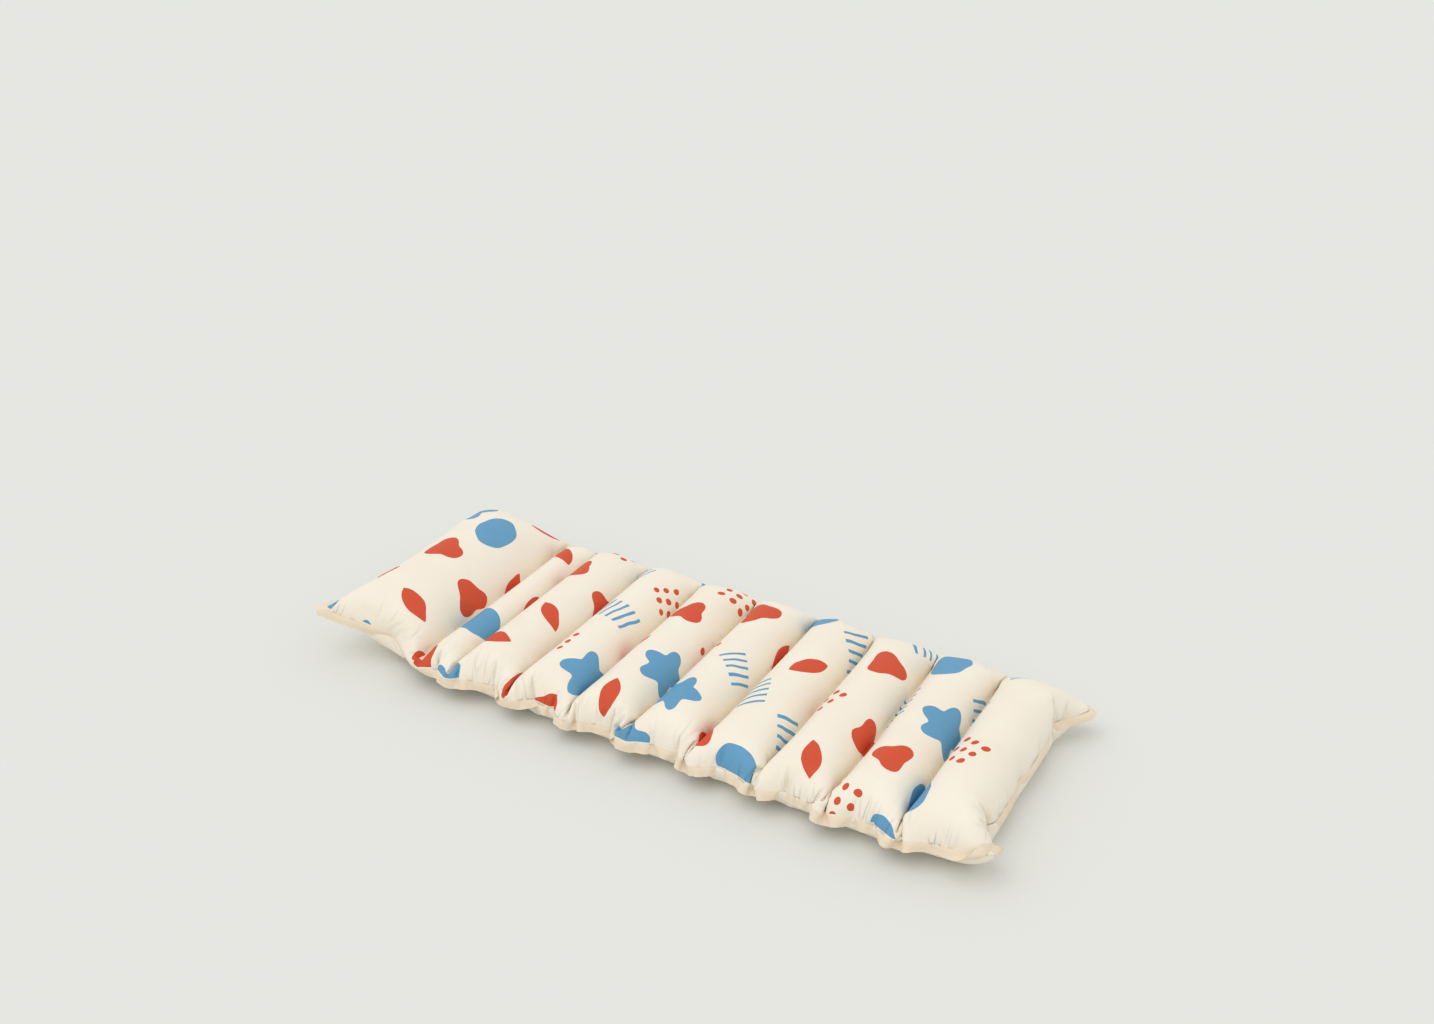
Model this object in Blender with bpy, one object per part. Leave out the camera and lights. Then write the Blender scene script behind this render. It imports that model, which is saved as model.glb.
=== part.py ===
"""Pool air mattress: a pillow chamber and nine air tubes across the body.

Two vinyl sheets lie one on the other. A hem weld joins them all round, and straight
welds across them divide the air into tubes. The body's eight welds stop short of the
side hems, so its nine tubes share one filling of air. The weld at the pillow runs from
hem to hem, so the pillow is a chamber of its own. Each chamber has a stopper valve.

+X runs from head to foot, +Y to the left of someone who lies on it, and +Z up. The
origin is on the ground, under the middle of the middle tube.
"""

import bpy
import bmesh
from dataclasses import dataclass
from math import asin, cos, degrees, pi, radians, sin, sqrt
from mathutils import Vector

# Driving dimensions, in metres and degrees
TUBE_COUNT = 9
ROOT_TUBE = 5
TUBE_PITCH = 0.160
HEAD_TUBE_PITCH = 0.097
FOOT_TUBE_LENGTH = 0.157
PILLOW_LENGTH = 0.254
BED_WIDTH = 0.682
PILLOW_TILT = radians(13.0)

# Half heights of the chambers. The pillow hangs further below its hem than it rises.
TUBE_RISE = 0.070
HEAD_TUBE_RISE = 0.045
PILLOW_RISE = 0.071
PILLOW_DROP = 0.079

# The sheets
FILM = 0.00035
SHEET_GAP = 0.0003
WELD_SPLIT = 0.0005
WELD_BAND = 0.011
PILLOW_WELD_BAND = 0.020
HEM_WIDTH = 0.023

# How far the side hem is drawn in at the middle of a tube and at a corner, and how long
# the closed ends of the chambers are
TUBE_DRAW = 0.014
CORNER_DRAW = 0.063
TUBE_END_LENGTH = 0.093
PILLOW_END_LENGTH = 0.129
CREASE_DEPTH = 0.007

# Corners of the outline stand out as ears, past the middle of the end hem
FOOT_EAR = 0.046
HEAD_EAR = 0.040

# The air passage at each end of a body weld
PASSAGE_RISE = 0.004
PASSAGE_RELIEF = 0.002
PASSAGE_PLACE = 0.80

# The strip that each tube presses flat on the ground
REST_FLAT = 0.016

# The valves: each seat is the square of film, flat and level, that a flange needs
VALVE_SEAT = 0.044
BODY_VALVE_FROM_SIDE = 0.211
PILLOW_VALVE_FROM_SIDE = 0.211
TOUCH_GAP = 0.0003

# The flange and its throat
FLANGE_RADIUS = 0.0200
FLANGE_THICKNESS = 0.0012
THROAT_RADIUS = 0.0112
THROAT_WALL = 0.0014
THROAT_DEPTH = 0.0150

# The stem, whose skirt runs in the throat
SKIRT_CLEARANCE = 0.0003
SKIRT_THICKNESS = 0.0014
SKIRT_REST = 0.0004
NECK_RADIUS = 0.0062
NECK_BORE = 0.0041
NECK_LENGTH = 0.0102
NECK_LIP = 0.0008
SPIGOT_LENGTH = 0.0040

# The plug
PLUG_CLEARANCE = 0.0001
PLUG_LENGTH = 0.0075
PLUG_TAPER = 0.0004
PLUG_HEAD_RADIUS = 0.0074
PLUG_HEAD_THICKNESS = 0.0020
PLUG_HEAD_CHAMFER = 0.0004
PLUG_GRIP_RADIUS = 0.0022
PLUG_GRIP_HEIGHT = 0.0018

# The check flap and the tether
FLAP_THICKNESS = 0.0005
FLAP_RADIUS = 0.0056
FLAP_HINGE_WIDTH = 0.0040
TETHER_WIDTH = 0.0036
TETHER_THICKNESS = 0.0009

# Facets. The places run along a chamber's end, from its full section to its hem.
QUARTER_STEPS_TOP = 4
QUARTER_STEPS_BOTTOM = 3
WELD_END_PLACE = 0.44
END_PLACES = (0.0, WELD_END_PLACE, PASSAGE_PLACE, 1.0)
TURN_STEPS = 28
MERGE_DISTANCE = 0.00001
AXIS_MARK = 0.03

# Places that follow from the sizes above. In a valve, heights run out of the chamber
# from the film's outer face.
SHEET_OFFSET = SHEET_GAP / 2 + FILM
WELD_HEIGHT = TUBE_RISE + SHEET_OFFSET
HEM_AT_WELD = BED_WIDTH / 2 - HEM_WIDTH
HEM_AT_TUBE = HEM_AT_WELD - TUBE_DRAW
HEM_AT_CORNER = HEM_AT_WELD - CORNER_DRAW
TUBE_STRAIGHT = HEM_AT_TUBE - TUBE_END_LENGTH
PILLOW_STRAIGHT = HEM_AT_TUBE - PILLOW_END_LENGTH
BODY_VALVE_Y = BED_WIDTH / 2 - BODY_VALVE_FROM_SIDE
PILLOW_VALVE_Y = BED_WIDTH / 2 - PILLOW_VALVE_FROM_SIDE
SKIRT_BACK = SKIRT_REST - THROAT_DEPTH
SKIRT_FACE = SKIRT_BACK + SKIRT_THICKNESS
MOUTH = SKIRT_FACE + NECK_LENGTH
SPIGOT_END = SKIRT_BACK - SPIGOT_LENGTH


def weld_x(number):
    """Place of a weld: 0 is the pillow's, and the rest lie foot-side of their tube."""
    if number == 0:
        from_pillow = 0.0
    else:
        from_pillow = HEAD_TUBE_PITCH + (number - 1) * TUBE_PITCH
    middle_tube = HEAD_TUBE_PITCH + (ROOT_TUBE - 1.5) * TUBE_PITCH
    return from_pillow - middle_tube


@dataclass
class Chamber:
    """One air chamber, seen from above, with its head end at left and foot at right.

    The places are x coordinates at the middle of the mattress, before the ears.
    """

    name: str
    left: float
    right: float
    left_band: float
    right_band: float
    rise: float
    drop: float
    straight: float = TUBE_STRAIGHT
    left_ear: float = 0.0
    right_ear: float = 0.0
    left_passage: bool = True
    right_passage: bool = True
    seat: float = REST_FLAT
    seat_y: float = 0.0
    has_valve: bool = False


def clear_scene():
    for item in list(bpy.data.objects):
        bpy.data.objects.remove(item, do_unlink=True)


def make_material(name, colour, roughness):
    material = bpy.data.materials.new(name)
    material.use_nodes = True
    shader = material.node_tree.nodes["Principled BSDF"]
    shader.inputs["Base Color"].default_value = (*colour, 1.0)
    shader.inputs["Roughness"].default_value = roughness
    shader.inputs["Metallic"].default_value = 0.0
    return material


def make_axis(name, place, parent=None, tilt=0.0):
    """An empty on a joint's axis, which carries every piece that moves with it."""
    axis = bpy.data.objects.new(name, None)
    axis.empty_display_size = AXIS_MARK
    bpy.context.scene.collection.objects.link(axis)
    axis.parent = parent
    axis.location = place
    axis.rotation_euler = (0.0, tilt, 0.0)
    return axis


def add_mesh(name, mesh, material, parent, smooth_angle=None):
    piece = bpy.data.objects.new(name, mesh)
    bpy.context.scene.collection.objects.link(piece)
    piece.parent = parent
    mesh.materials.append(material)
    if smooth_angle is not None:
        mesh.shade_smooth()
        mesh.set_sharp_from_angle(angle=radians(smooth_angle))
    return piece


def section_columns(half_width, rise, flat, quarter_steps):
    """A chamber's section, from its left seam to its right one, as (x, height) pairs.

    It is two quarter ellipses with a flat between them, which may have no width.
    """
    right = []
    for step in range(quarter_steps + 1):
        angle = pi / 2 * step / quarter_steps
        x = flat / 2 + (half_width - flat / 2) * sin(angle)
        right.append((x, rise * cos(angle)))
    left = [(-x, height) for x, height in reversed(right)]
    if flat == 0.0:
        left.pop()
    return left + right


def hem_line(chamber, across):
    """Half width to the side hem's inner edge, at -1 to 1 across the chamber.

    Between welds the hem is drawn in, because the tube that bulges there pulls on it.
    """
    ear = chamber.left_ear if across < 0 else chamber.right_ear
    at_side = HEM_AT_CORNER if ear > 0 else HEM_AT_WELD
    return HEM_AT_TUBE + (at_side - HEM_AT_TUBE) * across * across


def cap_height(place):
    """Share of the full height at a place from the full section, 0, to the hem, 1."""
    return sqrt(max(0.0, 1.0 - place * place))


def film_row(chamber, side, place, hand, is_hem=False):
    """One row of points over a chamber, at a place in the cap that closes its end."""
    steps = QUARTER_STEPS_TOP if side > 0 else QUARTER_STEPS_BOTTOM
    flat = 0.0 if side > 0 else chamber.seat
    rise = chamber.rise if side > 0 else chamber.drop
    reach = place ** 2
    left = chamber.left + chamber.left_band - chamber.left_ear * reach
    right = chamber.right - chamber.right_band + chamber.right_ear * reach
    middle = (left + right) / 2
    half_width = (right - left) / 2
    share = cap_height(place)
    section = section_columns(half_width, rise * share, flat, steps)
    in_passage = place == PASSAGE_PLACE

    row = []
    for index, (x, height) in enumerate(section):
        at_left = index == 0
        at_right = index == len(section) - 1
        at_crest = 2 * index == len(section) - 1
        across = x / half_width
        y = chamber.straight + place * (hem_line(chamber, across) - chamber.straight)
        if at_crest:
            y -= CREASE_DEPTH * place
        if is_hem:
            y += HEM_WIDTH
        lifts = (at_left and chamber.left_passage) or (at_right and chamber.right_passage)
        if in_passage and lifts:
            height = PASSAGE_RISE
        row.append(Vector((middle + x, hand * y, height)))

    left_relief = PASSAGE_RELIEF if in_passage and chamber.left_passage else 0.0
    right_relief = PASSAGE_RELIEF if in_passage and chamber.right_passage else 0.0
    first = Vector((left - chamber.left_band + left_relief, row[0].y, row[0].z))
    last = Vector((right + chamber.right_band - right_relief, row[-1].y, row[-1].z))
    row.insert(0, first)
    row.append(last)
    for point in row:
        point.z = side * (point.z + SHEET_OFFSET)
    return row


def seat_rows(chamber):
    """Two rows across the flat that a valve is welded to."""
    rows = []
    for y in (chamber.seat_y - chamber.seat / 2, chamber.seat_y + chamber.seat / 2):
        row = film_row(chamber, -1, 0.0, 1)
        for point in row:
            point.y = y
        rows.append(row)
    return rows


def film_rows(chamber, side):
    near = [film_row(chamber, side, 1.0, -1, is_hem=True)]
    near += [film_row(chamber, side, place, -1) for place in reversed(END_PLACES)]
    middle = seat_rows(chamber) if chamber.has_valve and side < 0 else []
    far = [film_row(chamber, side, place, 1) for place in END_PLACES]
    far.append(film_row(chamber, side, 1.0, 1, is_hem=True))
    return near + middle + far


def make_film(chamber, side, axis, axis_place, material):
    """One sheet of a chamber: a grid of points, made as thick as the film."""
    kind = "top" if side > 0 else "bottom"
    shape = bmesh.new()
    grid = []
    for row in film_rows(chamber, side):
        grid.append([shape.verts.new(point - axis_place) for point in row])
    for lower, upper in zip(grid, grid[1:]):
        for index in range(len(lower) - 1):
            corners = [lower[index], lower[index + 1], upper[index + 1], upper[index]]
            if side < 0:
                corners.reverse()
            shape.faces.new(corners)
    mesh = bpy.data.meshes.new(f"{chamber.name}_{kind}_film")
    shape.to_mesh(mesh)
    shape.free()
    film = add_mesh(mesh.name, mesh, material, axis, smooth_angle=50)
    thicken = film.modifiers.new("film", "SOLIDIFY")
    thicken.thickness = FILM
    thicken.offset = -1.0
    thicken.use_even_offset = True
    return film


def make_chambers():
    pillow = Chamber(
        "pillow",
        left=-PILLOW_LENGTH - PILLOW_WELD_BAND / 2 - HEM_WIDTH,
        right=-WELD_SPLIT / 2,
        left_band=HEM_WIDTH,
        right_band=PILLOW_WELD_BAND / 2,
        rise=PILLOW_RISE,
        drop=PILLOW_DROP,
        straight=PILLOW_STRAIGHT,
        left_ear=HEAD_EAR,
        left_passage=False,
        right_passage=False,
        seat=VALVE_SEAT,
        seat_y=PILLOW_VALVE_Y,
        has_valve=True,
    )
    tubes = []
    for number in range(1, TUBE_COUNT + 1):
        is_head = number == 1
        is_foot = number == TUBE_COUNT
        left = weld_x(number - 1) + WELD_SPLIT / 2
        right = weld_x(number) - WELD_SPLIT / 2
        if is_foot:
            right = weld_x(number - 1) + FOOT_TUBE_LENGTH + HEM_WIDTH
        tubes.append(Chamber(
            f"tube_{number}",
            left=left,
            right=right,
            left_band=PILLOW_WELD_BAND / 2 if is_head else WELD_BAND / 2,
            right_band=HEM_WIDTH if is_foot else WELD_BAND / 2,
            rise=HEAD_TUBE_RISE if is_head else TUBE_RISE,
            drop=HEAD_TUBE_RISE if is_head else TUBE_RISE,
            right_ear=FOOT_EAR if is_foot else 0.0,
            left_passage=not is_head,
            right_passage=not is_foot,
            seat=VALVE_SEAT if is_head else REST_FLAT,
            seat_y=BODY_VALVE_Y,
            has_valve=is_head,
        ))
    return pillow, tubes


def make_tube_axes():
    """Each tube turns about the weld between it and the tube nearer the middle one."""
    places = {ROOT_TUBE: Vector((0.0, 0.0, 0.0))}
    for number in range(1, TUBE_COUNT + 1):
        if number < ROOT_TUBE:
            places[number] = Vector((weld_x(number), 0.0, WELD_HEIGHT))
        elif number > ROOT_TUBE:
            places[number] = Vector((weld_x(number - 1), 0.0, WELD_HEIGHT))

    axes = {ROOT_TUBE: make_axis("middle_tube", places[ROOT_TUBE])}
    inner_first = sorted(places, key=lambda number: abs(number - ROOT_TUBE))
    for number in inner_first[1:]:
        inner = number + 1 if number < ROOT_TUBE else number - 1
        weld = number if number < ROOT_TUBE else number - 1
        place = places[number] - places[inner]
        axes[number] = make_axis(f"weld_{weld}_axis", place, axes[inner])
    return axes, places


def turned(name, profile, material, parent):
    """A turned piece, from its profile of (radius, height) points, outer side first."""
    mesh = bpy.data.meshes.new(name)
    points = [(radius, 0.0, height) for radius, height in profile]
    edges = [(index, index + 1) for index in range(len(points) - 1)]
    is_solid = profile[0][0] == 0.0
    if not is_solid:
        edges.append((len(points) - 1, 0))
    mesh.from_pydata(points, edges, [])
    piece = add_mesh(name, mesh, material, parent)
    turn = piece.modifiers.new("turn", "SCREW")
    turn.steps = TURN_STEPS
    turn.render_steps = TURN_STEPS
    turn.use_merge_vertices = is_solid
    turn.merge_threshold = MERGE_DISTANCE
    return piece


def cut_film(film, seat):
    """The round hole in a film that the valve's throat comes through."""
    mesh = bpy.data.meshes.new(f"{film.name}_hole")
    shape = bmesh.new()
    radius = THROAT_RADIUS + THROAT_WALL + TOUCH_GAP
    bmesh.ops.create_cone(shape, cap_ends=True, segments=TURN_STEPS, radius1=radius,
                          radius2=radius, depth=THROAT_DEPTH)
    shape.to_mesh(mesh)
    shape.free()
    cutter = bpy.data.objects.new(mesh.name, mesh)
    bpy.context.scene.collection.objects.link(cutter)
    cutter.parent = seat
    cutter.hide_render = True
    cutter.display_type = "WIRE"
    cut = film.modifiers.new("valve_hole", "BOOLEAN")
    cut.operation = "DIFFERENCE"
    cut.solver = "EXACT"
    cut.object = cutter


def make_flange(name, seat, material):
    """A disc welded inside the film, with a throat that the stem slides in."""
    face = -FILM - TOUCH_GAP
    back = face - FLANGE_THICKNESS
    wall = THROAT_RADIUS + THROAT_WALL
    profile = [
        (wall, 0.0),
        (wall, face),
        (FLANGE_RADIUS, face),
        (FLANGE_RADIUS, back),
        (wall, back),
        (wall, -THROAT_DEPTH),
        (THROAT_RADIUS, -THROAT_DEPTH),
        (THROAT_RADIUS, 0.0),
    ]
    return turned(name, profile, material, seat)


def make_stem(name, axis, material):
    """The neck that air is blown through, on a skirt that runs in the throat."""
    skirt = THROAT_RADIUS - SKIRT_CLEARANCE
    profile = [
        (NECK_BORE, MOUTH),
        (NECK_RADIUS + NECK_LIP, MOUTH),
        (NECK_RADIUS + NECK_LIP, MOUTH - NECK_LIP),
        (NECK_RADIUS, MOUTH - 2 * NECK_LIP),
        (NECK_RADIUS, SKIRT_FACE),
        (skirt, SKIRT_FACE),
        (skirt, SKIRT_BACK),
        (NECK_RADIUS, SKIRT_BACK),
        (NECK_RADIUS, SPIGOT_END),
        (NECK_BORE, SPIGOT_END),
    ]
    return turned(name, profile, material, axis)


def make_plug(name, axis, material):
    """The stopper: a tapered shank, a head that covers the mouth, and a grip."""
    shank = NECK_BORE - PLUG_CLEARANCE
    seat = MOUTH + TOUCH_GAP
    top = seat + PLUG_HEAD_THICKNESS
    profile = [
        (0.0, top + PLUG_GRIP_HEIGHT),
        (PLUG_GRIP_RADIUS, top + PLUG_GRIP_HEIGHT),
        (PLUG_GRIP_RADIUS, top),
        (PLUG_HEAD_RADIUS - PLUG_HEAD_CHAMFER, top),
        (PLUG_HEAD_RADIUS, top - PLUG_HEAD_CHAMFER),
        (PLUG_HEAD_RADIUS, seat),
        (shank, seat),
        (shank - PLUG_TAPER, seat - PLUG_LENGTH),
        (0.0, seat - PLUG_LENGTH),
    ]
    return turned(name, profile, material, axis)


def make_flap(name, axis, material):
    """The check flap under the spigot, with the strip that it hinges on."""
    mesh = bpy.data.meshes.new(name)
    shape = bmesh.new()
    opening = asin(FLAP_HINGE_WIDTH / 2 / FLAP_RADIUS)
    outline = []
    for step in range(TURN_STEPS + 1):
        angle = pi + opening + (2 * pi - 2 * opening) * step / TURN_STEPS
        outline.append((FLAP_RADIUS * cos(angle), FLAP_RADIUS * sin(angle)))
    outline.append((-NECK_RADIUS, FLAP_HINGE_WIDTH / 2))
    outline.append((-NECK_RADIUS, -FLAP_HINGE_WIDTH / 2))
    base = [shape.verts.new((x + NECK_RADIUS, y, -FLAP_THICKNESS)) for x, y in outline]
    face = shape.faces.new(base)
    grown = bmesh.ops.extrude_face_region(shape, geom=[face])
    raised = [item for item in grown["geom"] if isinstance(item, bmesh.types.BMVert)]
    bmesh.ops.translate(shape, vec=(0.0, 0.0, FLAP_THICKNESS), verts=raised)
    bmesh.ops.recalc_face_normals(shape, faces=shape.faces)
    shape.to_mesh(mesh)
    shape.free()
    return add_mesh(name, mesh, material, axis)


def make_tether(name, axis, material):
    """The strap that keeps the plug: up from the skirt, and over to the plug's head."""
    inner = PLUG_HEAD_RADIUS + TOUCH_GAP
    outer = inner + TETHER_THICKNESS
    foot = NECK_RADIUS + TOUCH_GAP
    base = SKIRT_FACE + TOUCH_GAP
    top = MOUTH + TOUCH_GAP + PLUG_HEAD_THICKNESS
    ankle = base + TETHER_THICKNESS
    outline = [(foot, base), (outer, base), (outer, top), (inner, top), (inner, ankle),
               (foot, ankle)]
    mesh = bpy.data.meshes.new(name)
    shape = bmesh.new()
    near = [shape.verts.new((x, -TETHER_WIDTH / 2, z)) for x, z in outline]
    face = shape.faces.new(near)
    grown = bmesh.ops.extrude_face_region(shape, geom=[face])
    moved = [item for item in grown["geom"] if isinstance(item, bmesh.types.BMVert)]
    bmesh.ops.translate(shape, vec=(0.0, TETHER_WIDTH, 0.0), verts=moved)
    bmesh.ops.recalc_face_normals(shape, faces=shape.faces)
    shape.to_mesh(mesh)
    shape.free()
    return add_mesh(name, mesh, material, axis)


def make_valve(prefix, film, chamber, parent, parent_place, materials):
    """A whole valve, built with its own +Z pointing out of the chamber, downward."""
    centre_x = (chamber.left + chamber.left_band + chamber.right - chamber.right_band) / 2
    place = Vector((centre_x, chamber.seat_y, -SHEET_OFFSET - chamber.drop))
    seat = make_axis(f"{prefix}_valve_seat", place - parent_place, parent)
    seat.rotation_euler = (pi, 0.0, 0.0)
    cut_film(film, seat)
    make_flange(f"{prefix}_valve_flange", seat, materials["flange"])
    slide = make_axis(f"{prefix}_valve_slide", (0.0, 0.0, 0.0), seat)
    make_stem(f"{prefix}_valve_stem", slide, materials["flange"])
    make_tether(f"{prefix}_valve_tether", slide, materials["flange"])
    pull = make_axis(f"{prefix}_valve_pull", (0.0, 0.0, 0.0), slide)
    make_plug(f"{prefix}_valve_plug", pull, materials["plug"])
    hinge = make_axis(f"{prefix}_valve_flap_hinge",
                      (-NECK_RADIUS, 0.0, SPIGOT_END - TOUCH_GAP), slide)
    make_flap(f"{prefix}_valve_flap", hinge, materials["flap"])
    return seat


def main():
    clear_scene()
    film_top = make_material("vinyl_printed_top", (0.89, 0.82, 0.69), 0.45)
    film_bottom = make_material("vinyl_plain_bottom", (0.90, 0.84, 0.73), 0.45)
    materials = {
        "flange": make_material("soft_vinyl_clear", (0.80, 0.79, 0.74), 0.30),
        "plug": make_material("soft_vinyl_white", (0.86, 0.85, 0.81), 0.35),
        "flap": make_material("soft_vinyl_thin", (0.74, 0.74, 0.71), 0.30),
    }
    pillow, tubes = make_chambers()
    axes, places = make_tube_axes()
    weld_plane = Vector((0.0, 0.0, WELD_HEIGHT))

    bottoms = {}
    for number, tube in enumerate(tubes, start=1):
        local_place = places[number] - weld_plane
        make_film(tube, 1, axes[number], local_place, film_top)
        bottoms[number] = make_film(tube, -1, axes[number], local_place, film_bottom)

    head_place = Vector((weld_x(0), 0.0, WELD_HEIGHT))
    pillow_axis = make_axis("pillow_axis", head_place - places[1], axes[1], PILLOW_TILT)
    origin = Vector((0.0, 0.0, 0.0))
    make_film(pillow, 1, pillow_axis, origin, film_top)
    pillow_bottom = make_film(pillow, -1, pillow_axis, origin, film_bottom)

    make_valve("body", bottoms[1], tubes[0], axes[1], places[1] - weld_plane, materials)
    make_valve("pillow", pillow_bottom, pillow, pillow_axis, origin, materials)
    print(f"pillow tilt {degrees(PILLOW_TILT):.1f} degrees, welds {WELD_HEIGHT:.4f} m up")


main()
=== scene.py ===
# %% [markdown]
# # An inflated pool mattress
# This lesson dresses a imported frame: a pool air mattress with nine cross tubes and a
# pillow. The frame gives every body, joint and size. What is missing is the look of thin
# printed vinyl that is blown up tight: round tubes, puckered ends and a hem that waves.
#
# The frame is loaded first.

# %% Load the frame
import math
from math import cos, pi, sin

import bpy
import numpy as np
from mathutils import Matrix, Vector


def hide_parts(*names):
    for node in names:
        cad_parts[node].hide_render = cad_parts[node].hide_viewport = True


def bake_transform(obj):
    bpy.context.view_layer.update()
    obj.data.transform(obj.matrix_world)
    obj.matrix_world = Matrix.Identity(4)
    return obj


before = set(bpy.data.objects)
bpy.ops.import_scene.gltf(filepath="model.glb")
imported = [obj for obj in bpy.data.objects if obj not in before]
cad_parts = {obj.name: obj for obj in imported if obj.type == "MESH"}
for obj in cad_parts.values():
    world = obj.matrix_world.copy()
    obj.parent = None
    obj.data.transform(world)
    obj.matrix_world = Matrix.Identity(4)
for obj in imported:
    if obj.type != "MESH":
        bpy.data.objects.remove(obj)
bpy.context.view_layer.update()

# %% [markdown]
# ## The camera
# The photograph looks down on the mattress from beside its foot. The camera's place and
# lens were found by fitting the weld lines of the frame to those of the photograph. Its
# place is in metres, its turns are in radians, and the lens and sensor are in millimetres.

# %% Camera
CAMERA_PLACE = (1.4131, -2.4887, 2.0653)
CAMERA_DOWN = 0.4989
CAMERA_TURN = 0.5258
LENS = 37.62
SENSOR = 36.0

bpy.ops.object.camera_add(location=CAMERA_PLACE, rotation=(pi / 2 - CAMERA_DOWN, 0, CAMERA_TURN))
camera = bpy.context.object
camera.name = "camera"
camera.data.lens = LENS
camera.data.sensor_width = SENSOR
bpy.context.scene.camera = camera
print("camera looks down by", round(math.degrees(CAMERA_DOWN), 1), "degrees")

# %% [markdown]
# ## The pattern
# The real mattress is cut from two flat sheets of vinyl film, one for the top and one
# for the bottom, with round corners. They are welded to each other along a hem and along
# lines across, and every roundness, pucker and crease comes from the air that is blown in
# afterwards. The skin could be sculpted, but puckers obey rules that a hand misses: the
# film bends freely and hardly stretches. So this script lays out the flat pattern,
# and then blows it up.
#
# The pattern is a grid of points, CELL apart. A column of points runs across the bed, and
# a row runs along it. Chamber 0 is the pillow, and chambers 1 to 9 are the tubes. Every
# column knows its chamber, its share of the way over that chamber, its kind, and how far it
# is from the head's edge on the top and on the bottom sheet.

# %% Sizes of the flat pattern, in metres
CELL = 0.005
HEM = 0.023
WELD_BANDS = [0.020] + [0.011] * 8
TOP_WIDTHS = [0.322, 0.1355] + [0.2240] * 7 + [0.250]
BOTTOM_WIDTHS = [0.334, 0.1355] + [0.2240] * 7 + [0.250]
HEAD_CORNER = 0.015
FOOT_CORNER = 0.050
# From the middle of the bed to the inner edge of the side hem
FLAT_HALF = 0.330
# The film's outer and inner face, from the grid's points outward
OUTER = 0.00035
INNER = 0.00002
PILLOW, FOOT_TUBE = 0, 9
SHEETS = ("top", "bottom")
print("chambers:", len(TOP_WIDTHS), "and welds between them:", len(WELD_BANDS))

# %% Columns and rows of the grid
columns = []
place = np.zeros(2)
hem_steps = round(HEM / CELL)
for step in range(hem_steps):
    columns.append((PILLOW, 0.0, "hem", *place))
    place = place + HEM / hem_steps
for chamber in range(FOOT_TUBE + 1):
    wide = np.array([TOP_WIDTHS[chamber], BOTTOM_WIDTHS[chamber]])
    count = 2 * round(wide[0] / CELL / 2)
    for step in range(count + 1):
        kind = "seam" if step in (0, count) else "air"
        columns.append((chamber, step / count, kind, *(place + wide * step / count)))
    place = place + wide
    if chamber < FOOT_TUBE:
        place = place + WELD_BANDS[chamber]
for step in range(hem_steps):
    place = place + HEM / hem_steps
    columns.append((FOOT_TUBE, 1.0, "hem", *place))

chamber_of = np.array([column[0] for column in columns])
share_of = np.array([column[1] for column in columns])
kind_of = np.array([column[2] for column in columns])
place_of = np.array([column[3:] for column in columns])
half_rows = np.linspace(0.0, FLAT_HALF, round(FLAT_HALF / CELL) + 1)
hem_rows = FLAT_HALF + np.linspace(0.0, HEM, hem_steps + 1)[1:]
half_rows = np.concatenate([half_rows, hem_rows])
row_y = np.concatenate([-half_rows[::-1], half_rows[1:]])
shape = (len(columns), len(row_y))
print("points on each sheet:", shape[0], "x", shape[1])

# %% Round corners, and the hem's inner edge
TINY = 1e-6
flat = np.zeros((2, 2, *shape))
from_inner_edge = np.zeros((2, *shape))
for sheet in (0, 1):
    across = place_of[:, sheet, None] + 0 * row_y
    along = np.abs(row_y)[None, :] + 0 * across
    length = across[-1, 0]
    outside = along - FLAT_HALF
    for radius, from_end in ((HEAD_CORNER, across), (FOOT_CORNER, length - across)):
        past_x = (radius - from_end) / radius
        past_y = (along - (FLAT_HALF + HEM - radius)) / radius
        inside = (past_x > 0) & (past_y > 0)
        scale = np.maximum(past_x, past_y) / np.maximum(np.hypot(past_x, past_y), 1e-9)
        moved = radius * (1 - past_x * scale)
        across = np.where(inside, moved if radius == HEAD_CORNER else length - moved, across)
        along = np.where(inside, FLAT_HALF + HEM - radius + past_y * scale * radius, along)
        outside = np.maximum(outside, HEM - from_end)
    flat[:, sheet] = across, along * np.sign(row_y)
    from_inner_edge[sheet] = outside
hem = from_inner_edge[0] > TINY
print("pattern is", round(length, 3), "m long and", round(2 * half_rows[-1], 3), "m wide")

# %% [markdown]
# ## Welds
# Where the sheets are welded, their points are the same points. The weld at the pillow
# runs from hem to hem. The body's welds stop short of it, each a little sooner or later
# than the next, and air passes round their ends. A line across has the number of the
# chamber before it: -1 is the head hem, 0 the pillow's weld, and 9 the foot hem.

# %% Which points are welded
HEAD_HEM, PILLOW_WELD, FOOT_HEM = -1, 0, 9
# From the middle of the bed to where a weld ends, more or less
WELD_STOP = 0.245
WELD_STOP_SPREAD = 0.005
SEED = 11
rng = np.random.default_rng(SEED)
weld_stops = WELD_STOP + rng.uniform(-WELD_STOP_SPREAD, WELD_STOP_SPREAD, (len(WELD_BANDS), 2))

seam = kind_of == "seam"
line_of = np.where(share_of == 1.0, chamber_of, chamber_of - 1)
welded = from_inner_edge[0] > -TINY
for index in np.flatnonzero(seam):
    if line_of[index] in (HEAD_HEM, PILLOW_WELD, FOOT_HEM):
        welded[index] = True
    else:
        near_stop, far_stop = weld_stops[line_of[index]]
        welded[index] |= np.abs(row_y) <= np.where(row_y < 0, near_stop, far_stop)
print("welded points:", int(welded.sum()))

# %% [markdown]
# ## The start
# The film starts near its final shape, so that it settles in seconds: each tube is round
# and closed at its ends, as in the frame, and the welds are at the frame's places. The
# four corners stand out as ears, and the side hem dips in at the middle of every tube.

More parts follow.
